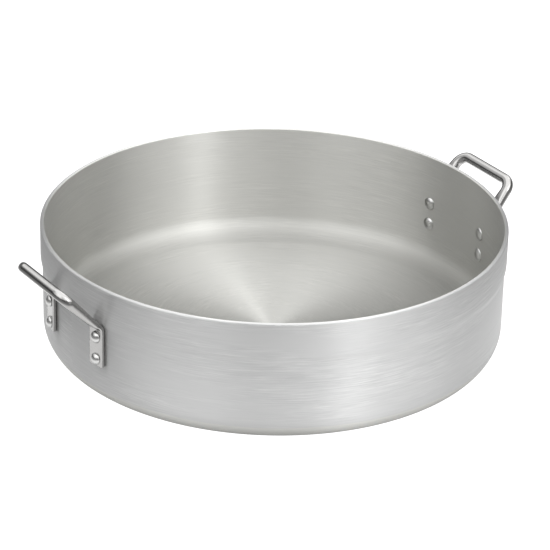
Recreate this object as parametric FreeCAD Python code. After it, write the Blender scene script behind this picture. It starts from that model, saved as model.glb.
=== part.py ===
import FreeCAD, Part
import math
import os

# Heavy aluminium brazier pan with two riveted loop handles.
# Millimetres, +Z up, origin on the table at the centre of the base.
# +X and -X point along the two handles, which sit exactly opposite each other.

V = FreeCAD.Vector
UP = V(0, 0, 1)
ORIGIN = V(0, 0, 0)

# ---- driving dimensions -------------------------------------------------

# pan shell
rim_diameter = 508.0         # over the thick rim band
pan_height = 140.0
wall_thickness = 2.8
rim_step = 2.0               # how far the rim band stands out past the wall
rim_band_height = 36.0       # full-thickness part of the band, from the top
rim_blend_height = 11.5      # smooth run from the band down to the wall
rim_edge_radius = 1.6
base_thickness = 4.8
corner_radius = 28.0         # outside radius between base and wall

# handle loop: bar centre line
foot_spread = 22.2           # degrees between the two feet of one handle
grip_reach = 33.6            # grip centre line, outside the rim
grip_drop = 4.5              # grip centre line, below the rim
grip_half_width = 45.7       # from the middle of the grip to a leg centre
corner_bend = 13.6
foot_bend = 9.0
root_rise = 3.5              # corner of the leg root, above the lower end of the rim band

# handle bar sections
grip_width = 11.9            # in the plane of the loop
grip_thickness = 11.2        # square to the plane of the loop
grip_rounding = 5.0
foot_width = 20.0
foot_thickness = 4.2
foot_rounding = 1.2
foot_end_rounding = 1.0
root_width = 18.0            # leg section where it leaves the foot bend
root_thickness = 6.8
root_rounding = 2.2

# rivets
rivet_pitch = 25.4
first_rivet_drop = 9.7       # below the lower end of the rim band
foot_margin = 7.6            # metal below the lower rivet centre
shank_diameter = 6.4
outer_head_diameter = 13.0
outer_head_height = 4.2
inner_head_diameter = 14.6
inner_head_height = 3.4

# clearances
shank_clearance = 0.05       # rivet shank to its hole, all round

# ---- derived values -----------------------------------------------------

rim_radius = rim_diameter / 2
wall_radius = rim_radius - rim_step
inner_radius = wall_radius - wall_thickness
inner_corner_radius = corner_radius - wall_thickness
foot_outer_radius = wall_radius + foot_thickness
foot_centre_radius = wall_radius + foot_thickness / 2
foot_angle = math.radians(foot_spread / 2)
band_foot = pan_height - rim_band_height - rim_blend_height
upper_rivet_height = band_foot - first_rivet_drop
lower_rivet_height = upper_rivet_height - rivet_pitch
foot_bottom = lower_rivet_height - foot_margin
hole_radius = shank_diameter / 2
shank_radius = hole_radius - shank_clearance

# width, thickness and corner rounding of the bar at the foot, leg root and grip
foot_size = (foot_width, foot_thickness, foot_rounding)
root_size = (root_width, root_thickness, root_rounding)
grip_size = (grip_width, grip_thickness, grip_rounding)

# corners of the loop centre line on the +X, +Y side
foot_x = foot_centre_radius * math.cos(foot_angle)
foot_y = foot_centre_radius * math.sin(foot_angle)
grip_corner = V(rim_radius + grip_reach, grip_half_width, pan_height - grip_drop)
foot_corner = V(foot_x, foot_y, band_foot + root_rise)
leg_direction = (grip_corner - foot_corner).normalize()
loop_normal = leg_direction.cross(V(0, -1, 0)).normalize()
loop_outward = V(leg_direction.x, 0, leg_direction.z).normalize()


def line(a, b):
    return Part.LineSegment(a, b).toShape()


def arc(a, middle, b):
    return Part.Arc(a, middle, b).toShape()


# ---- pan shell ----------------------------------------------------------

def quarter(cx, cz, radius, start_degrees, sweep_degrees):
    points = []
    for share in (0.0, 0.5, 1.0):
        angle = math.radians(start_degrees + sweep_degrees * share)
        points.append(V(cx + radius * math.cos(angle), 0, cz + radius * math.sin(angle)))
    return points


def shell_profile():
    """Half section of the shell: one closed line in the XZ plane."""
    top = pan_height
    edge = rim_edge_radius
    blend_low = band_foot
    band_low = band_foot + rim_blend_height
    blend_radius = (rim_blend_height ** 2 + rim_step ** 2) / (4 * rim_step)
    blend_angle = math.degrees(math.asin(rim_blend_height / 2 / blend_radius))

    corner = quarter(wall_radius - corner_radius, corner_radius, corner_radius, 270, 90)
    lower_blend = quarter(wall_radius + blend_radius, blend_low, blend_radius, 180, -blend_angle)
    upper_blend = quarter(rim_radius - blend_radius, band_low, blend_radius, -blend_angle, blend_angle)
    outer_edge = quarter(rim_radius - edge, top - edge, edge, 0, 90)
    inner_edge = quarter(inner_radius + edge, top - edge, edge, 90, 90)
    inner_corner = quarter(inner_radius - inner_corner_radius, base_thickness + inner_corner_radius,
                           inner_corner_radius, 0, -90)
    runs = [corner, lower_blend, upper_blend, outer_edge, inner_edge, inner_corner]

    edges = []
    here = ORIGIN
    for run in runs:
        if here.distanceToPoint(run[0]) > 1e-6:
            edges.append(line(here, run[0]))
        edges.append(arc(*run))
        here = run[2]
    centre = V(0, 0, base_thickness)
    edges.append(line(here, centre))
    edges.append(line(centre, ORIGIN))
    return Part.Face(Part.Wire(edges))


def make_pan_body():
    shell = shell_profile().revolve(ORIGIN, UP, 360)
    return shell.cut(rivet_holes())


# ---- rivets -------------------------------------------------------------

def rivet_stations():
    """Name, direction (degrees round the pan) and height of every rivet."""
    stations = []
    half = foot_spread / 2
    for side, centre in (("left", 180.0), ("right", 0.0)):
        turn = -1 if side == "right" else 1
        for place, offset in (("front", half * turn), ("back", -half * turn)):
            for level, height in (("upper", upper_rivet_height), ("lower", lower_rivet_height)):
                stations.append(("rivet_%s_%s_%s" % (side, place, level), centre + offset, height))
    return stations


def place_on_wall(shape, degrees, height):
    """Move a shape made along +X on the XY plane out to its station."""
    shape.rotate(ORIGIN, UP, degrees)
    shape.translate(V(0, 0, height))
    return shape


def rivet_holes():
    holes = []
    length = foot_outer_radius - inner_radius + 20
    for name, degrees, height in rivet_stations():
        drill = Part.makeCylinder(hole_radius, length, V(inner_radius - 10, 0, 0), V(1, 0, 0))
        holes.append(place_on_wall(drill, degrees, height))
    return Part.makeCompound(holes)


def head_solid(seat, radius, height, outward, land):
    """A domed head standing on the plane x = seat, with a short upright edge."""
    reach = height * outward
    foot = V(seat, 0, 0)
    corner = V(seat, 0, radius)
    shoulder = V(seat + land * outward, 0, radius)
    crown = V(seat + reach, 0, 0)
    rise = height - land
    dome = (radius ** 2 + rise ** 2) / (2 * rise)
    half_angle = math.asin(radius / dome) / 2
    middle = V(seat + reach - dome * (1 - math.cos(half_angle)) * outward, 0, dome * math.sin(half_angle))
    edges = [line(foot, corner), line(corner, shoulder), arc(shoulder, middle, crown), line(crown, foot)]
    return Part.Face(Part.Wire(edges)).revolve(ORIGIN, V(1, 0, 0), 360)


def make_rivet(degrees, height):
    """Solid rivet: domed outer head, shank, flatter clenched inner head."""
    sink = 1.5
    tall = outer_head_diameter * 2
    outer = head_solid(foot_outer_radius - sink, outer_head_diameter / 2, outer_head_height + sink, 1, 1.9)
    foot_face = Part.makeCylinder(foot_outer_radius, tall, V(0, 0, -tall / 2))
    outer = outer.cut(foot_face)

    inner = head_solid(inner_radius + sink, inner_head_diameter / 2, inner_head_height + sink, -1, 2.1)
    wall_face = Part.makeCylinder(inner_radius, tall, V(0, 0, -tall / 2))
    inner = inner.common(wall_face)

    start = inner_radius - inner_head_height / 2
    length = foot_outer_radius + outer_head_height / 2 - start
    shank = Part.makeCylinder(shank_radius, length, V(start, 0, 0), V(1, 0, 0))
    rivet = outer.fuse([shank, inner]).removeSplitter()
    return place_on_wall(rivet, degrees, height)


# ---- handles ------------------------------------------------------------

def bar_section(centre, wide, thick, width, thickness, rounding):
    """Closed outline of the bar: four flats joined by four rounded corners."""
    half_w = width / 2
    half_t = thickness / 2
    flat_w = half_w - rounding
    flat_t = half_t - rounding
    slant = rounding * math.sqrt(0.5)

    def at(w, t):
        return centre + wide * w + thick * t

    corners = []
    for index, (sw, st) in enumerate([(1, 1), (1, -1), (-1, -1), (-1, 1)]):
        on_flat = at(sw * flat_w, st * half_t)
        on_edge = at(sw * half_w, st * flat_t)
        middle = at(sw * (flat_w + slant), st * (flat_t + slant))
        corners.append((on_flat, middle, on_edge) if index % 2 == 0 else (on_edge, middle, on_flat))

    edges = []
    before = corners[-1][2]
    for start, middle, end in corners:
        edges.append(line(before, start))
        edges.append(arc(start, middle, end))
        before = end
    return Part.Wire(edges)


def foot_section(height):
    """Outline of a foot plate at one height, centred on +X, hugging the wall."""
    turn = (foot_width / 2 - foot_rounding) / foot_centre_radius
    slant = foot_rounding * math.sqrt(0.5)

    def spot(radius, side, sideways=0.0):
        angle = side * turn
        across = V(-math.sin(angle), math.cos(angle), 0) * (side * sideways)
        return V(radius * math.cos(angle), radius * math.sin(angle), height) + across

    outer = foot_outer_radius
    inner = wall_radius
    outer_centre = outer - foot_rounding
    inner_centre = inner + foot_rounding
    return Part.Wire([
        arc(spot(outer, -1), spot(outer, 0), spot(outer, 1)),
        arc(spot(outer, 1), spot(outer_centre + slant, 1, slant), spot(outer_centre, 1, foot_rounding)),
        line(spot(outer_centre, 1, foot_rounding), spot(inner_centre, 1, foot_rounding)),
        arc(spot(inner_centre, 1, foot_rounding), spot(inner_centre - slant, 1, slant), spot(inner, 1)),
        arc(spot(inner, 1), spot(inner, 0), spot(inner, -1)),
        arc(spot(inner, -1), spot(inner_centre - slant, -1, slant), spot(inner_centre, -1, foot_rounding)),
        line(spot(inner_centre, -1, foot_rounding), spot(outer_centre, -1, foot_rounding)),
        arc(spot(outer_centre, -1, foot_rounding), spot(outer_centre + slant, -1, slant), spot(outer, -1)),
    ])


def between(a, b, share):
    return a + (b - a) * share


def make_foot(top):
    """Flat plate rolled to the wall, its lower end softened all round."""
    foot = Part.Face(foot_section(foot_bottom)).extrude(UP * (top - foot_bottom))
    low_edges = [edge for edge in foot.Edges if edge.BoundBox.ZMax < foot_bottom + 0.01]
    foot = foot.makeFillet(foot_end_rounding, low_edges)
    foot.rotate(ORIGIN, UP, math.degrees(foot_angle))
    return foot


def make_leg(bend_start, leg_end):
    """Leg on the +Y side: bends off the foot plate and thickens into the bar."""
    turn = math.acos(leg_direction.z)
    sideways = (leg_direction - UP * leg_direction.z).normalize()
    bend_centre = bend_start + sideways * foot_bend
    bend_end = foot_corner + leg_direction * (foot_corner - bend_start).Length
    foot_wide = V(-math.sin(foot_angle), math.cos(foot_angle), 0)

    stations = []
    for share in (0.35, 0.7):
        angle = turn * share
        spot = bend_centre - sideways * (foot_bend * math.cos(angle)) + UP * (foot_bend * math.sin(angle))
        heading = UP * math.cos(angle) + sideways * math.sin(angle)
        size = [between(a, b, share) for a, b in zip(foot_size, root_size)]
        stations.append((spot, heading, foot_wide, size, 1.0))
    for share in (0.0, 0.22, 0.45, 0.72, 1.0):
        spot = between(bend_end, leg_end, share)
        size = [between(a, b, share) for a, b in zip(root_size, grip_size)]
        wide = between(foot_wide, V(0, 1, 0), share)
        stations.append((spot, leg_direction, wide, size, (1 - share) ** 2))

    first = foot_section(bend_start.z)
    first.rotate(ORIGIN, UP, math.degrees(foot_angle))
    sections = [first]
    for spot, heading, wide, size, lean in stations:
        wide = (wide - heading * wide.dot(heading)).normalize()
        thick = wide.cross(heading).normalize()
        # extra metal is forged outwards, so the wall side stays clear of the rim band
        outward = (size[1] - foot_thickness) / 2 * lean
        sections.append(bar_section(spot + thick * outward, wide, thick, *size))
    solid, ruled, closed, degree = True, False, False, 3
    return Part.makeLoft(sections, solid, ruled, closed, degree)


def make_corner(leg_end, turn):
    wide = (V(0, 1, 0) - leg_direction * leg_direction.y).normalize()
    end = bar_section(leg_end, wide, loop_normal, *grip_size)
    return Part.Face(end).revolve(leg_end - wide * corner_bend, loop_normal, math.degrees(turn))


def make_grip(half_length):
    start = V(grip_corner.x, -half_length, grip_corner.z)
    end = bar_section(start, loop_outward, loop_normal, *grip_size)
    return Part.Face(end).extrude(V(0, 2 * half_length, 0))


def make_handle():
    """One forged bar: foot, leg, corner, grip, corner, leg, foot. Made on +X."""
    foot_turn = math.acos(leg_direction.z)
    bend_start = foot_corner - UP * (foot_bend * math.tan(foot_turn / 2))
    corner_turn = math.acos(leg_direction.dot(V(0, -1, 0)))
    corner_length = corner_bend * math.tan(corner_turn / 2)
    leg_end = grip_corner - leg_direction * corner_length

    half = [make_foot(bend_start.z), make_leg(bend_start, leg_end), make_corner(leg_end, corner_turn)]
    other = [piece.mirror(ORIGIN, V(0, 1, 0)) for piece in half]
    grip = make_grip(grip_corner.y - corner_length)
    return grip.fuse(half + other).removeSplitter()


def fitted(handle, degrees):
    """Turn a handle to its side of the pan and drill its feet."""
    handle.rotate(ORIGIN, UP, degrees)
    return handle.cut(rivet_holes())


# ---- write every piece --------------------------------------------------

def main():
    pieces = {"pan_body": make_pan_body()}
    pieces["handle_right"] = fitted(make_handle(), 0)
    pieces["handle_left"] = fitted(make_handle(), 180)
    for name, degrees, height in rivet_stations():
        pieces[name] = make_rivet(degrees, height)

    os.makedirs("parts", exist_ok=True)
    for name, shape in pieces.items():
        if len(shape.Solids) != 1 or not shape.isValid():
            raise RuntimeError("%s is not one valid solid" % name)
        shape.Solids[0].exportStep("parts/%s.step" % name)
        print("%-28s %10.0f mm3" % (name, shape.Volume))


main()
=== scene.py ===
# %% [markdown]
# # A catering brazier pan in spun aluminium
# The pan is one heavy spun shell with a thick band round its rim. Two bright metal loop
# handles face each other across it, and two rivets through each foot hold them on. That is
# eleven pieces. The engineering model gives the sizes; this lesson gives each piece a finer
# surface, and the finish that the real one has.

# %% Open the engineering frame
import math
import bmesh
import bpy
from mathutils import Matrix, Vector


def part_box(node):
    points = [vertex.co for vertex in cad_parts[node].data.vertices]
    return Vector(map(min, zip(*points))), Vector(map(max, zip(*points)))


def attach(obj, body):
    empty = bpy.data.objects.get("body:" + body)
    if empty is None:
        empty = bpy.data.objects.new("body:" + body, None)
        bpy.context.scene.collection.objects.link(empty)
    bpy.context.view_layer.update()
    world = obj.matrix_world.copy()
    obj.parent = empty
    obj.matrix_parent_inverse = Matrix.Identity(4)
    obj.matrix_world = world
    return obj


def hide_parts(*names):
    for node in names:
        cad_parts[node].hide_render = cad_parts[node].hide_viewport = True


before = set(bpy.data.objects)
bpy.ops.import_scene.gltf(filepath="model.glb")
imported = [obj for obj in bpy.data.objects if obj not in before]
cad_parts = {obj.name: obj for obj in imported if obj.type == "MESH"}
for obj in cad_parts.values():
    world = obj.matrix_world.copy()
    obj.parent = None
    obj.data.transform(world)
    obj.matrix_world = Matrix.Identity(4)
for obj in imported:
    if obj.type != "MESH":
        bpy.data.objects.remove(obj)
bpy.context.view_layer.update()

scene = bpy.context.scene
MM = 0.001
UP = Vector((0, 0, 1))

# %% [markdown]
# ## Where the camera stands
# A long lens from well back keeps the ellipse of the rim calm. The camera could be dragged
# into place by hand, but numbers can be read again later, so it is given the way one would
# say it aloud: how far round, how high, how far away, what it looks at, and how far it leans.
# Blender wants a matrix, so the three directions of the camera become its columns: right,
# up, and backwards.

# %% Set the camera
CAMERA_ROUND = math.radians(33.34)      # from straight in front, towards the left handle
CAMERA_HEIGHT = math.radians(25.98)
CAMERA_LEAN = math.radians(-1.30)
CAMERA_DISTANCE = 3.067
AIM_RIGHT = 0.0018                      # the lens looks this far from the centre of the base
AIM_UP = 0.0646
FOCAL_LENGTH = 181.2
FARTHEST_SEEN = 50

level = Vector((math.sin(CAMERA_ROUND), math.cos(CAMERA_ROUND), 0))
view_way = level * math.cos(CAMERA_HEIGHT) - UP * math.sin(CAMERA_HEIGHT)
level_right = view_way.cross(UP).normalized()
level_up = level_right.cross(view_way)
camera_place = level_right * AIM_RIGHT + level_up * AIM_UP - view_way * CAMERA_DISTANCE
lean = Matrix.Rotation(CAMERA_LEAN, 3, view_way)

lens = bpy.data.cameras.new("camera")
lens.lens = FOCAL_LENGTH
lens.clip_end = FARTHEST_SEEN
camera = bpy.data.objects.new("camera", lens)
columns = Matrix((lean @ level_right, lean @ level_up, -view_way)).transposed().to_4x4()
camera.matrix_world = Matrix.Translation(camera_place) @ columns
scene.collection.objects.link(camera)
scene.camera = camera
print("camera at", [round(v, 3) for v in camera_place])

# %% [markdown]
# ## A small node toolkit
# A material is a network of nodes, and so is the light of the world. Nodes could be placed
# and joined one line at a time, but then the idea is lost in the wiring. These helpers each
# do one plain job, so every finish below reads as a list of steps. Most of them hand back a
# pair, a node and the name of its output, ready to be joined to the next step.

# %% Helpers that add, join and count
def add(tree, kind, **settings):
    node = tree.nodes.new(kind)
    for key, value in settings.items():
        if key in node.inputs:
            node.inputs[key].default_value = value
        else:
            setattr(node, key, value)
    return node


def join(tree, source, output, target, socket):
    tree.links.new(source.outputs[output], target.inputs[socket])


def maths(tree, operation, first, second=None):
    """One sum. Each part is a number or a (node, output) pair."""
    node = add(tree, "ShaderNodeMath", operation=operation)
    for place, part in enumerate((first, second)):
        if isinstance(part, tuple):
            join(tree, *part, node, place)
        elif part is not None:
            node.inputs[place].default_value = part
    return node, "Value"


# %% Helpers that turn numbers into greys, colours and other ranges
def ramp(tree, source, stops):
    """Turn a number from 0 to 1 into a grey level that eases through the given stops."""
    node = add(tree, "ShaderNodeValToRGB")
    node.color_ramp.interpolation = "EASE"
    marks = node.color_ramp.elements
    while len(marks) < len(stops):
        marks.new(0.5)
    for mark, (place, grey) in zip(marks, stops):
        mark.position = place
        mark.color = (grey, grey, grey, 1)
    join(tree, *source, node, "Fac")
    return node, "Color"


def blend(tree, share, first, second):
    """A mix of two colours, each three numbers or a (node, output) pair."""
    node = add(tree, "ShaderNodeMix", data_type="RGBA")
    join(tree, *share, node, "Factor")
    for socket, colour in (("A", first), ("B", second)):
        if isinstance(colour[0], bpy.types.Node):
            join(tree, *colour, node, socket)
        else:
            node.inputs[socket].default_value = (*colour, 1)
    return node, "Result"


def rescale(tree, source, old, new):
    """Carry a number from the old range to the new one, and hold it at the new one's ends."""
    node = add(tree, "ShaderNodeMapRange")
    for socket, value in zip(("From Min", "From Max", "To Min", "To Max"), (*old, *new)):
        node.inputs[socket].default_value = value
    join(tree, *source, node, "Value")
    return node, "Result"


# %% Helpers that every metal needs
def new_metal(name):
    material = bpy.data.materials.new(name)
    material.use_nodes = True
    tree = material.node_tree
    shader = tree.nodes["Principled BSDF"]
    shader.inputs["Metallic"].default_value = 1.0
    return material, tree, shader


def mottle(tree, shader, share, tones, roughness):
    """Let one pattern change the colour and the shine together."""
    join(tree, *blend(tree, share, *tones), shader, "Base Color")
    join(tree, *rescale(tree, share, (0.0, 1.0), roughness), shader, "Roughness")


def dent(tree, shader, pattern, strength, depth):
    """Shade the surface as if a pattern were pressed into it; its mesh stays smooth."""
    bump = add(tree, "ShaderNodeBump", Strength=strength, Distance=depth)
    join(tree, *pattern, bump, "Height")
    join(tree, bump, "Normal", shader, "Normal")


# %% [markdown]
# ## The studio
# Polished metal shows the room more than itself, so the room is designed first. It has three
# layers. Low down it is dim, which draws the dark lines in the handles. Above that runs a
# bright belt that changes all the way round: it is dim behind the camera, and brightest at
# a narrow strip light to the right of it. Overhead is an even white ceiling. Lamps could do
# this, but each would need its own size, place and power. A world made from the direction of
# each ray gives all of it in two curves and a ring of marks.

# %% Set the light of the room
BELT_STRENGTH = 3.95
CEILING_STRENGTH = 2.2
BACKDROP = (0.9, 0.9, 0.9, 1)           # what the camera itself sees past the floor
# degrees round from straight behind the camera, towards its right; brightness
RING_STOPS = [(-180, 0.34), (-135, 0.50), (-108, 0.20), (-80, 0.38), (-56, 0.56), (-27, 0.60),
              (-18, 0.40), (-6, 0.32), (8, 0.46), (20, 0.52), (32, 0.66), (40, 1.80), (48, 0.98),
              (56, 0.78), (84, 0.62), (104, 0.34), (124, 0.36), (144, 0.64), (180, 0.34)]
# height of the direction, from 0 for level to 1 for straight up; brightness
BELT_STOPS = [(0.0, 0.12), (0.35, 0.14), (0.50, 1.0), (0.68, 0.9), (0.90, 0.0)]
CEILING_STOPS = [(0.62, 0.0), (0.90, 1.0), (1.0, 1.0)]

behind_camera = math.atan2(-level.y, -level.x)
print("behind the camera is", round(math.degrees(behind_camera), 1), "degrees round")


# %% Light the studio
def studio_world():
    world = bpy.data.worlds.new("studio")
    world.use_nodes = True
    tree = world.node_tree

    way = add(tree, "ShaderNodeTexCoord")
    split = add(tree, "ShaderNodeSeparateXYZ")
    join(tree, way, "Generated", split, "Vector")
    turn = maths(tree, "ARCTAN2", (split, "Y"), (split, "X"))
    from_camera = maths(tree, "SUBTRACT", turn, behind_camera)
    share = maths(tree, "DIVIDE", from_camera, math.tau)
    round_the_room = maths(tree, "FRACT", maths(tree, "ADD", share, 0.5))
    ring = ramp(tree, round_the_room, [(0.5 + degrees / 360, grey) for degrees, grey in RING_STOPS])
    belt = maths(tree, "MULTIPLY", ring, ramp(tree, (split, "Z"), BELT_STOPS))
    belt = maths(tree, "MULTIPLY", belt, BELT_STRENGTH)
    ceiling = maths(tree, "MULTIPLY", ramp(tree, (split, "Z"), CEILING_STOPS), CEILING_STRENGTH)
    room = maths(tree, "ADD", belt, ceiling)

    seen = add(tree, "ShaderNodeLightPath")
    shown = add(tree, "ShaderNodeMix", data_type="RGBA")
    shown.inputs["B"].default_value = BACKDROP
    join(tree, seen, "Is Camera Ray", shown, "Factor")
    join(tree, *room, shown, "A")
    join(tree, shown, "Result", tree.nodes["Background"], "Color")
    return world


scene.world = studio_world()
scene.view_settings.view_transform = "Standard"
print("studio ring has", len(RING_STOPS), "marks")

# %% [markdown]
# ## The white sweep
# The pan stands on white paper that reaches past the edge of the view. Shiny metal sees this
# paper too, so how it glows matters as much as the room does: a pool of light lies round the
# pan and fades outwards, and the pan shades the paper close under it. Both are drawn by
# distance alone, from a point beside the axis and from the axis itself. The camera is shown
# the paper at pure white.

# %% Set the light of the sweep
FLOOR_RADIUS = 7.0
FLOOR_DROP = 0.6 * MM                   # keeps the paper clear of the base
PURE_WHITE = 1.2
POOL_SHIFT = 0.08                       # the pool's middle lies this far from the axis
POOL_SIDE = behind_camera + math.radians(80)        # to the right of the camera
# distance in metres, light given out
POOL_STOPS = [(0.0, 1.5), (0.33, 1.5), (0.42, 1.1), (0.54, 0.28), (0.8, 0.16)]
# distance in metres, share of the light that is left
SHADE_STOPS = [(0.0, 0.35), (0.25, 0.35), (0.33, 1.0)]

pool_middle = Vector((math.cos(POOL_SIDE), math.sin(POOL_SIDE), 0)) * POOL_SHIFT
print("pool of light round", [round(v, 3) for v in pool_middle])


# %% Mix the paper
def level_by_distance(tree, middle, stops):
    place = add(tree, "ShaderNodeTexCoord")
    distance = add(tree, "ShaderNodeVectorMath", operation="DISTANCE")
    distance.inputs[1].default_value = middle
    join(tree, place, "Object", distance, "Vector")
    return ramp(tree, (distance, "Value"), stops)


def glowing_paper():
    material = bpy.data.materials.new("white sweep")
    material.use_nodes = True
    tree = material.node_tree
    paper = tree.nodes["Principled BSDF"]
    paper.inputs["Base Color"].default_value = (0.1, 0.1, 0.1, 1)
    paper.inputs["Roughness"].default_value = 1.0
    paper.inputs["Specular IOR Level"].default_value = 0.0
    paper.inputs["Emission Color"].default_value = (1, 1, 1, 1)
    pool = level_by_distance(tree, pool_middle, POOL_STOPS)
    glow = maths(tree, "MULTIPLY", pool, level_by_distance(tree, Vector(), SHADE_STOPS))
    seen = add(tree, "ShaderNodeLightPath")
    to_camera = maths(tree, "MULTIPLY", (seen, "Is Camera Ray"), PURE_WHITE)
    join(tree, *maths(tree, "MAXIMUM", glow, to_camera), paper, "Emission Strength")
    return material


# %% Lay the sweep
work = bmesh.new()
bmesh.ops.create_circle(work, cap_ends=True, segments=96, radius=FLOOR_RADIUS)
floor_mesh = bpy.data.meshes.new("studio_floor")
work.to_mesh(floor_mesh)
work.free()
floor_mesh.materials.append(glowing_paper())
floor = bpy.data.objects.new("studio_floor", floor_mesh)
floor.location.z = -FLOOR_DROP
scene.collection.objects.link(floor)
print("sweep is", 2 * FLOOR_RADIUS, "m across")

# %% [markdown]
# ## Finishing a piece
# A bmesh is Blender's workshop copy of a mesh. When a piece is done, its seams are merged,
# its faces are turned outwards and told to shade smoothly, and the copy is written to a real
# mesh. Each piece keeps its place inside its mesh and leaves its object at the origin. These
# jobs are the same for all eleven pieces, so they are written once, here.

# %% Helpers for finishing a piece
MERGE = 0.002 * MM                      # points closer than this become one


def write_mesh(name, work, material):
    bmesh.ops.remove_doubles(work, verts=work.verts, dist=MERGE)
    bmesh.ops.recalc_face_normals(work, faces=work.faces)
    for face in work.faces:
        face.smooth = True
    mesh = bpy.data.meshes.new(name)
    work.to_mesh(mesh)
    work.free()
    mesh.materials.append(material)
    return mesh


def place_piece(name, mesh, node):
    piece = bpy.data.objects.new(name, mesh)
    scene.collection.objects.link(piece)
    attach(piece, "root")
    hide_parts(node)
    print(name, "has", len(mesh.polygons), "faces")


def round_off(work, corners, reach, segments):
    """Cut the given corners of a flat outline back by reach and round them."""
    made = bmesh.ops.bevel(work, geom=corners, offset=reach, offset_type="OFFSET", segments=segments,
                           profile=0.5, affect="VERTICES", material=-1, clamp_overlap=False)
    return made["verts"]


# %% [markdown]
# ## The sizes of the shell
# The overall size is read from the engineering model. The rest are the maker's own numbers:
# how far the rim band stands out, how thick the wall and the base are, and how the corners
# are rounded.

# %% Set the shell's sizes
pan_low, pan_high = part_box("pan_body")
RIM_RADIUS = (pan_high.x - pan_low.x) / 2
PAN_HEIGHT = pan_high.z
RIM_STEP = 2.0 * MM                     # the band stands this far outside the wall
WALL = 2.8 * MM
BASE = 4.8 * MM
BAND_HEIGHT = 36.0 * MM
BAND_BLEND = 11.5 * MM                  # height of the slope from the wall out to the band
CORNER = 28.0 * MM                      # outer rounding between base and wall
RIM_EDGE = 1.6 * MM
INNER_RIM_EDGE = 1.36 * MM

wall_radius = RIM_RADIUS - RIM_STEP
inside_radius = wall_radius - WALL
band_foot = PAN_HEIGHT - BAND_HEIGHT - BAND_BLEND
print("rim radius", round(RIM_RADIUS / MM, 1), "mm, height", round(PAN_HEIGHT / MM, 1), "mm")

# %% [markdown]
# ## Spun aluminium
# The shell is spun on a lathe and rubbed with fine abrasive while it turns, so every scratch
# is a circle round the axis. That is why light smears across the scratches into tall bands
# on the wall and fans on the floor. The scratches are far finer than any face, so they are
# left to the material, in two parts. The shader's anisotropy does the smearing, with its
# tangent running round the axis. Stretched noise draws the single scratches: it changes
# quickly with height and with distance from the axis, and hardly at all round the pan. A
# last slow noise stands for handling marks.

# %% Measure every point of the pan by turn, reach and height
def around_the_axis(tree):
    place = add(tree, "ShaderNodeTexCoord")
    split = add(tree, "ShaderNodeSeparateXYZ")
    join(tree, place, "Object", split, "Vector")
    squares = [maths(tree, "MULTIPLY", (split, side), (split, side)) for side in "XY"]
    reach = maths(tree, "SQRT", maths(tree, "ADD", *squares))
    turn = maths(tree, "ARCTAN2", (split, "Y"), (split, "X"))
    return turn, reach, (split, "Z")


def ring_noise(tree, axes, along, across, detail, shift):
    """Noise drawn out into rings: slow along the scratches, quick across them."""
    turn, reach, height = axes
    drawn = add(tree, "ShaderNodeCombineXYZ")
    for socket, source, rate in (("X", turn, along), ("Y", reach, across), ("Z", height, across)):
        moved = maths(tree, "ADD", maths(tree, "MULTIPLY", source, rate), shift)
        join(tree, *moved, drawn, socket)
    noise = add(tree, "ShaderNodeTexNoise", Scale=1.0, Detail=detail, Roughness=0.6)
    join(tree, drawn, "Vector", noise, "Vector")
    return noise, "Fac"


# %% Colour the spun metal
# Each pair is the tone of the darkest and of the lightest scratches.
OUTSIDE_TONES = ((0.56, 0.563, 0.563), (0.75, 0.751, 0.747))
# Inside the pan the tones are lighter and warmer; the warm tint is painted bounce light from the
# pan's own walls.
INSIDE_BOUNCE_TONES = ((0.63, 0.63, 0.607), (0.76, 0.758, 0.732))
# The low tones are painted shade: they darken the floor of the pan and the bottom of its corner,
# inside and out.
LOW_SHADE_TONES = ((0.405, 0.405, 0.39), (0.53, 0.528, 0.508))
LOW_SHADE_FADE = 13 * MM                      # the low tones are gone this far above the base
TYPICAL_STREAK = 0.35


def spun_colour(tree, height, is_inside, hair, strand, cloud):
    fine = rescale(tree, hair, (0.25, 0.75), (0.0, 1.0))
    coarse = rescale(tree, strand, (0.25, 0.75), (0.4, 1.0))
    streak = maths(tree, "SUBTRACT", maths(tree, "MULTIPLY", fine, coarse), TYPICAL_STREAK)
    patchy = rescale(tree, cloud, (0.32, 0.68), (0.1, 1.6))
    shade = maths(tree, "ADD", maths(tree, "MULTIPLY", streak, patchy), 0.5)

    above_base = maths(tree, "GREATER_THAN", height, BASE / 2)
    in_the_pan = maths(tree, "MULTIPLY", is_inside, above_base)
    # the inside tones carry painted warm bounce light
    outside, inside, shaded_low = [blend(tree, shade, *tones)
                            for tones in (OUTSIDE_TONES, INSIDE_BOUNCE_TONES, LOW_SHADE_TONES)]
    wall = blend(tree, in_the_pan, outside, inside)
    # painted shade: darker towards the bottom, fading out up the corner
    low_shade = rescale(tree, height, (BASE, BASE + LOW_SHADE_FADE), (1.0, 0.0))
    return blend(tree, maths(tree, "MULTIPLY", low_shade, above_base), wall, shaded_low)


# %% Roughen the spun metal
SCRATCH_ROUGHNESS = (0.39, 0.49)
OUTSIDE_EXTRA = 0.08
CORNER_EXTRA = 0.15                     # on the floor of the pan, fading out up its corner
CORNER_FADE = 26 * MM


def spun_roughness(tree, height, is_inside, hair):
    scratched = rescale(tree, hair, (0.2, 0.8), SCRATCH_ROUGHNESS)
    outside = rescale(tree, is_inside, (0.0, 1.0), (OUTSIDE_EXTRA, 0.0))
    corner = rescale(tree, height, (BASE, BASE + CORNER_FADE), (CORNER_EXTRA, 0.0))
    corner = maths(tree, "MULTIPLY", corner, is_inside)
    return maths(tree, "ADD", maths(tree, "ADD", scratched, outside), corner)


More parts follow.
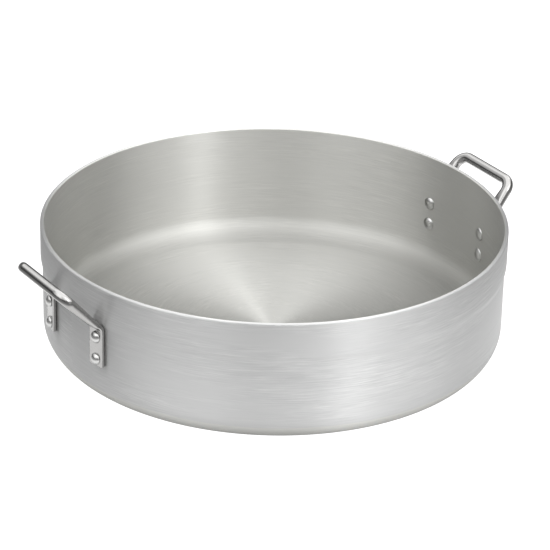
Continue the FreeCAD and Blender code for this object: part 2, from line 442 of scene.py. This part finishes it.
# %% Mix the spun finish
def spun_aluminium():
    material, tree, shader = new_metal("spun aluminium")
    shader.inputs["Anisotropic"].default_value = 0.96
    shader.inputs["Anisotropic Rotation"].default_value = 0.25
    grain = add(tree, "ShaderNodeTangent", direction_type="RADIAL", axis="Z")
    join(tree, grain, "Tangent", shader, "Tangent")

    axes = around_the_axis(tree)
    reach, height = axes[1:]
    is_inside = maths(tree, "LESS_THAN", reach, inside_radius + WALL / 2)
    hair = ring_noise(tree, axes, along=9.0, across=850.0, detail=4.0, shift=3.0)
    strand = ring_noise(tree, axes, along=3.5, across=300.0, detail=3.0, shift=11.0)
    cloud = ring_noise(tree, axes, along=2.2, across=34.0, detail=2.0, shift=23.0)

    join(tree, *spun_colour(tree, height, is_inside, hair, strand, cloud), shader, "Base Color")
    join(tree, *spun_roughness(tree, height, is_inside, hair), shader, "Roughness")
    dent(tree, shader, hair, strength=0.15, depth=0.08 * MM)
    return material


shell_finish = spun_aluminium()
print("made finish:", shell_finish.name)

# %% [markdown]
# ## The shell
# Spinning is how the real shell is made, and it is also the quickest way to model it. A
# cylinder could be pushed into the same shape, but every rounding would be work of its own.
# One half section is drawn as a flat face with eight corners: base, wall, the slow step out
# to the rim band, the rim, and back down inside. Its corners are rounded, the face is thrown
# away, its outline is kept, and the outline is spun once round the axis.

# %% Draw the half section
slope_round = BAND_BLEND / 4             # rounds both ends of the slope up to the band
section = [                              # distance from the axis, height, rounding, segments
    (0, 0, 0, 0),
    (wall_radius, 0, CORNER, 20),
    (wall_radius, band_foot + slope_round, slope_round, 8),
    (RIM_RADIUS, band_foot + BAND_BLEND - slope_round, slope_round, 8),
    (RIM_RADIUS, PAN_HEIGHT, RIM_EDGE, 6),
    (inside_radius, PAN_HEIGHT, INNER_RIM_EDGE, 6),
    (inside_radius, BASE, CORNER - WALL, 20),
    (0, BASE, 0, 0),
]
print("the half section has", len(section), "corners")

# %% Spin the shell
SPIN_STEPS = 288
work = bmesh.new()
corners = [work.verts.new((across, 0, height)) for across, height, reach, segments in section]
work.faces.new(corners)
for corner, (across, height, reach, segments) in zip(corners, section):
    if reach:
        round_off(work, [corner], reach, segments)
bmesh.ops.delete(work, geom=list(work.faces), context="FACES_ONLY")
on_axis = [edge for edge in work.edges if all(abs(vert.co.x) < MERGE for vert in edge.verts)]
bmesh.ops.delete(work, geom=on_axis, context="EDGES")
bmesh.ops.spin(work, geom=list(work.verts) + list(work.edges), cent=(0, 0, 0), axis=(0, 0, 1),
               angle=math.tau, steps=SPIN_STEPS, use_merge=True)
shell_mesh = write_mesh("pan_shell", work, shell_finish)
place_piece("pan_shell", shell_mesh, "pan_body")

# %% [markdown]
# ## Bright plated bar
# The handles are forged, polished and plated. A plated bar is close to a mirror, so its look
# is mostly what it reflects. A plain metal shader would make that mirror perfect. Two noises
# spoil it a little: small smears where the shine is duller, and a faint unevenness left by
# the polishing wheel.

# %% Mix the plating
PLATING_TONES = ((0.33, 0.326, 0.320), (0.43, 0.426, 0.420))
PLATING_ROUGHNESS = (0.10, 0.22)


def bright_plating():
    material, tree, shader = new_metal("bright plating")
    place = add(tree, "ShaderNodeTexCoord")
    smear = add(tree, "ShaderNodeTexNoise", Scale=90.0, Detail=5.0, Roughness=0.6)
    wheel = add(tree, "ShaderNodeTexNoise", Scale=240.0, Detail=3.0, Roughness=0.5)
    for noise in (smear, wheel):
        join(tree, place, "Object", noise, "Vector")
    mottle(tree, shader, (smear, "Fac"), PLATING_TONES, PLATING_ROUGHNESS)
    dent(tree, shader, (wheel, "Fac"), strength=0.06, depth=0.2 * MM)
    return material


handle_finish = bright_plating()
print("made finish:", handle_finish.name)

# %% [markdown]
# ## The handles
# A handle is one length of round bar. The smith flattens both ends into feet, turns each
# leg outwards at the root of its foot, and bends the two corners of the grip. Sweeping one
# outline along a curve can't turn a flat foot into a round grip, so the bar is lofted: a row
# of outlines stands along its centre line, each a square scaled to width and thickness with
# rounded corners, and neighbours are bridged. Half a handle is made this way, then mirrored.

# %% Measure out the centre line
FOOT_TURN = math.radians(11.1)                      # each foot stands this far round from X
FOOT_SIZE = (20.0 * MM, 4.2 * MM, 1.2 * MM)         # width, thickness, corner rounding
ROOT_SIZE = (18.0 * MM, 6.8 * MM, 2.2 * MM)
GRIP_SIZE = (11.9 * MM, 11.2 * MM, 5.0 * MM)
FOOT_EDGE = 1.0 * MM
GRIP_REACH = 33.6 * MM                              # from the rim out to the grip's centre line
GRIP_DROP = 4.5 * MM                                # from the rim's height down to the same line
GRIP_HALF = 45.7 * MM                               # half the grip's length between its corners
GRIP_BEND = 13.6 * MM
ROOT_BEND = 9.0 * MM
ROOT_RISE = 3.5 * MM                                # the leg turns out this far over the band's foot
FIRST_RIVET = 9.7 * MM                              # from the band's foot down to the upper rivet
RIVET_PITCH = 25.4 * MM
FOOT_MARGIN = 7.6 * MM                              # from the lower rivet to the foot's end

upper_rivet = band_foot - FIRST_RIVET
rivet_levels = {"upper": upper_rivet, "lower": upper_rivet - RIVET_PITCH}
foot_bottom = rivet_levels["lower"] - FOOT_MARGIN
foot_thickness = FOOT_SIZE[1]
foot_out = Vector((math.cos(FOOT_TURN), math.sin(FOOT_TURN), 0))
foot_wide = UP.cross(foot_out)
foot_centre = foot_out * (wall_radius + foot_thickness / 2)
grip_corner = Vector((RIM_RADIUS + GRIP_REACH, GRIP_HALF, PAN_HEIGHT - GRIP_DROP))
root_corner = foot_centre + UP * (band_foot + ROOT_RISE)
leg_way = (grip_corner - root_corner).normalized()
grip_way = Vector((0, -1, 0))
print("leg root is", round(root_corner.z / MM, 1), "mm up")


# %% Helpers for walking along the bar
def between(start, end, share):
    return start + (end - start) * share


def between_sizes(start, end, share):
    return [between(a, b, share) for a, b in zip(start, end)]


def round_bend(corner, way_in, way_out, radius, steps):
    """Places and headings along the arc that rounds one corner of the centre line."""
    angle = way_in.angle(way_out)
    axis = way_in.cross(way_out).normalized()
    start = corner - way_in * radius * math.tan(angle / 2)
    pivot = start + axis.cross(way_in) * radius
    stops = []
    for step in range(steps + 1):
        swing = Matrix.Rotation(angle * step / steps, 3, axis)
        stops.append((pivot + swing @ (start - pivot), swing @ way_in))
    return stops


root_bend = round_bend(root_corner, UP, leg_way, ROOT_BEND, 10)
grip_bend = round_bend(grip_corner, leg_way, grip_way, GRIP_BEND, 18)
leg_start, leg_end = root_bend[-1][0], grip_bend[0][0]
print("straight leg is", round((leg_end - leg_start).length / MM, 1), "mm long")

# %% Stand the outlines along the bar
# Each station holds a place, a heading, the direction of the width, the size, and the share
# of any extra thickness that is put on the outside, away from the wall.
FOOT_STEPS = 6
LEG_STEPS = 18
EDGE_SHRINK = (2, 2, 0.8)                # trims width and thickness at both sides, rounding less

stations = []
for step in range(FOOT_STEPS + 1):       # the lower end of the foot is softened all round
    angle = math.radians(90) * step / FOOT_STEPS
    trim = FOOT_EDGE * (1 - math.sin(angle))
    height = foot_bottom + FOOT_EDGE * (1 - math.cos(angle))
    size = [full - trim * shrink for full, shrink in zip(FOOT_SIZE, EDGE_SHRINK)]
    stations.append((foot_centre + UP * height, UP, foot_wide, size, 0))
for step, (place, heading) in enumerate(root_bend):
    share = step / (len(root_bend) - 1)
    stations.append((place, heading, foot_wide, between_sizes(FOOT_SIZE, ROOT_SIZE, share), 1))
for step in range(1, LEG_STEPS):
    share = step / LEG_STEPS
    wide = between(foot_wide, -grip_way, share)
    size = between_sizes(ROOT_SIZE, GRIP_SIZE, share)
    stations.append((between(leg_start, leg_end, share), leg_way, wide, size, (1 - share) ** 2))
for place, heading in grip_bend:
    wide = heading.cross(grip_way.cross(leg_way)).normalized()
    stations.append((place, heading, wide, GRIP_SIZE, 0))
middle = Vector((grip_corner.x, 0, grip_corner.z))
stations.append((middle, grip_way, leg_way, GRIP_SIZE, 0))
print("outlines in half a handle:", len(stations))


# %% Loft and mirror a handle
def stand_outline(work, place, heading, wide, size, lean_out):
    width, thickness, rounding = size
    wide = (wide - heading * wide.dot(heading)).normalized()
    thick = wide.cross(heading).normalized()
    square = bmesh.ops.create_grid(work, x_segments=1, y_segments=1, size=0.5)["verts"]
    bmesh.ops.scale(work, vec=(width, thickness, 1), verts=square)
    outline = round_off(work, square, rounding, 6)
    face = outline[0].link_faces[0]
    turned = Matrix((wide, thick, heading)).transposed().to_4x4()
    centre = place + thick * (thickness - foot_thickness) / 2 * lean_out
    bmesh.ops.transform(work, matrix=Matrix.Translation(centre) @ turned, verts=outline)
    return face


def loft_handle(turn):
    work = bmesh.new()
    faces = [stand_outline(work, *station) for station in stations]
    rings = [list(face.edges) for face in faces]
    bmesh.ops.delete(work, geom=faces[1:], context="FACES_ONLY")
    for ring, following in zip(rings, rings[1:]):
        bmesh.ops.bridge_loops(work, edges=ring + following)
    whole = list(work.verts) + list(work.edges) + list(work.faces)
    bmesh.ops.mirror(work, geom=whole, matrix=Matrix.Identity(4), merge_dist=MERGE, axis="Y")
    bmesh.ops.rotate(work, cent=(0, 0, 0), matrix=Matrix.Rotation(turn, 3, "Z"), verts=work.verts)
    return work


for side, turn in (("left", math.pi), ("right", 0.0)):
    handle_mesh = write_mesh("loop_handle_" + side, loft_handle(turn), handle_finish)
    place_piece("loop_handle_" + side, handle_mesh, "handle_" + side)

# %% [markdown]
# ## Rivets
# A rivet starts as a mushroom with a round head. It goes through the foot and the wall from
# outside, and its end is hammered over inside into a second, flatter head. The hammer leaves
# soft dents and a cloudy shine. A squashed ball would do for a head from far off, but it has
# no upright edge to catch the light. So the curve of each head is drawn by swinging one
# point, the edge is added below it, and the whole outline is spun round the rivet's axis.

# %% Mix the rivet metal
RIVET_TONES = ((0.50, 0.50, 0.495), (0.66, 0.66, 0.65))
RIVET_ROUGHNESS = (0.22, 0.38)


def burnished_rivet():
    material, tree, shader = new_metal("burnished rivet")
    place = add(tree, "ShaderNodeTexCoord")
    peened = add(tree, "ShaderNodeTexVoronoi", feature="SMOOTH_F1", Scale=520.0)
    cloud = add(tree, "ShaderNodeTexNoise", Scale=420.0, Detail=4.0)
    for texture in (peened, cloud):
        join(tree, place, "Object", texture, "Vector")
    mottle(tree, shader, (cloud, "Fac"), RIVET_TONES, RIVET_ROUGHNESS)
    dent(tree, shader, (peened, "Distance"), strength=0.25, depth=0.2 * MM)
    return material


rivet_finish = burnished_rivet()
print("made finish:", rivet_finish.name)

# %% Draw a head and spin a rivet
OUTER_HEAD = (13.0 * MM, 4.2 * MM, 0.5 * MM)        # across, height, upright edge
INNER_HEAD = (14.6 * MM, 3.4 * MM, 0.5 * MM)
SHANK = 3.1 * MM
HEAD_STEPS = 14
RIVET_STEPS = 56
foot_face = wall_radius + foot_thickness


def swing_head(work, seat, way, across, height, edge):
    """Outline of one head from its crown to its seat; returns the point at the seat."""
    half, rise = across / 2, height - edge
    ball = (half ** 2 + rise ** 2) / (2 * rise)
    crown = work.verts.new((seat + way * height, 0, 0))
    arc = bmesh.ops.spin(work, geom=[crown], cent=(crown.co.x - way * ball, 0, 0), axis=(0, way, 0),
                         angle=-math.asin(half / ball), steps=HEAD_STEPS)
    rim = [vert for vert in arc["geom_last"] if isinstance(vert, bmesh.types.BMVert)][0]
    foot = work.verts.new((seat, 0, rim.co.z))
    work.edges.new((rim, foot))
    return foot


def spin_rivet(turn, height):
    work = bmesh.new()
    outer = swing_head(work, foot_face, 1, *OUTER_HEAD)
    inner = swing_head(work, inside_radius, -1, *INNER_HEAD)
    neck = [work.verts.new((foot.co.x, 0, SHANK)) for foot in (outer, inner)]
    for pair in ((outer, neck[0]), neck, (neck[1], inner)):
        work.edges.new(pair)
    bmesh.ops.spin(work, geom=list(work.verts) + list(work.edges), cent=(0, 0, 0), axis=(1, 0, 0),
                   angle=math.tau, steps=RIVET_STEPS, use_merge=True)
    place = Matrix.Translation((0, 0, height)) @ Matrix.Rotation(turn, 4, "Z")
    bmesh.ops.transform(work, matrix=place, verts=work.verts)
    return work


# %% Set the rivets
for side, middle_turn, back_way in (("left", math.pi, -1), ("right", 0.0, 1)):
    for place, way in (("front", -back_way), ("back", back_way)):
        for level_name, height in rivet_levels.items():
            name = "_".join(("rivet", side, place, level_name))
            rivet = spin_rivet(middle_turn + way * FOOT_TURN, height)
            rivet_mesh = write_mesh(name + "_fine", rivet, rivet_finish)
            place_piece(name + "_fine", rivet_mesh, name)
